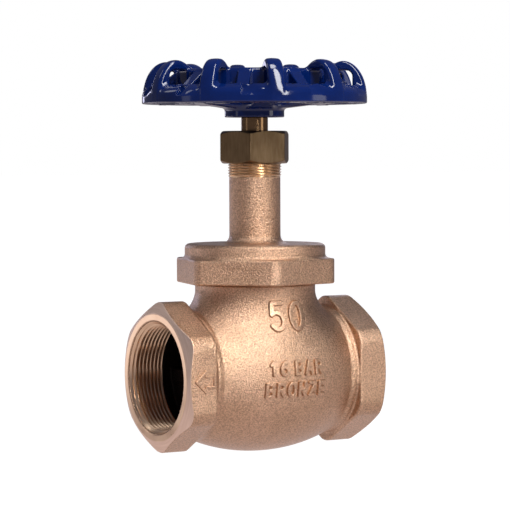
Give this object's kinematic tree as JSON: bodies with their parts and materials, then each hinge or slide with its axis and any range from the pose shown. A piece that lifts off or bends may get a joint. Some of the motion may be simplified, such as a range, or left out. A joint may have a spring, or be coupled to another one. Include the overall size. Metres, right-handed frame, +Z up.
{
  "type": "globe valve",
  "caption": "Cast bronze screw-down globe valve with female threaded hexagon ends, screw-over bonnet, rising stem, packing nut and a finned blue handwheel.",
  "frame": {"origin": "centre of the inlet port's face", "axes": "+X along the pipe run in the direction of flow, +Z up along the stem, +Y towards the marked side of the body"},
  "size_m": [0.126, 0.1232, 0.2136],
  "materials": {
    "cast_bronze": "as-cast, shot blasted, fine grain",
    "machined_bronze": "turned, satin",
    "turned_brass": "turned and milled, semi-bright",
    "gasket_fibre": "compressed fibre sheet",
    "white_ptfe": "smooth, waxy",
    "braided_packing": "graphited braid",
    "blue_enamel": "glossy stoved enamel on a casting",
    "bare_aluminium": "rolled sheet",
    "zinc_plated_steel": "bright zinc plate"
  },
  "bodies": {
    "valve_body": {"body_inlet_end": "cast_bronze", "body_outlet_end": "cast_bronze", "body_globe_lower": "cast_bronze", "body_globe_upper": "cast_bronze", "body_neck_thread": "cast_bronze", "body_bridge": "cast_bronze", "seat_ring": "machined_bronze", "bonnet": "cast_bronze", "bonnet_gasket": "gasket_fibre", "packing_base_washer": "turned_brass", "packing_ring_1": "braided_packing", "packing_ring_2": "braided_packing", "packing_ring_3": "braided_packing", "packing_ring_4": "braided_packing", "packing_ring_5": "braided_packing", "gland_follower": "turned_brass", "packing_nut": "turned_brass"},
    "disc_assembly": {"disc_holder": "machined_bronze", "seat_insert": "white_ptfe", "insert_retainer": "machined_bronze", "insert_nut": "turned_brass", "disc_retaining_nut": "machined_bronze"},
    "stem_wheel": {"stem": "turned_brass", "handwheel": "blue_enamel", "name_plate": "bare_aluminium", "spring_washer": "zinc_plated_steel", "handwheel_nut": "zinc_plated_steel"}
  },
  "joints": [
    {"name": "disc_lift", "type": "slide", "parent": "valve_body", "child": "disc_assembly", "axis": [0, 0, 1], "range_m": [0, 0.016]},
    {"name": "stem_turn", "type": "hinge", "parent": "disc_assembly", "child": "stem_wheel", "pos_m": [0.063, 0, 0.14], "axis": [0, 0, 1], "range_deg": [0, 1440]}
  ],
  "couplings": [
    {"joint": "disc_lift", "follows": "stem_turn", "m_per_rad": 0.00063662}
  ]
}
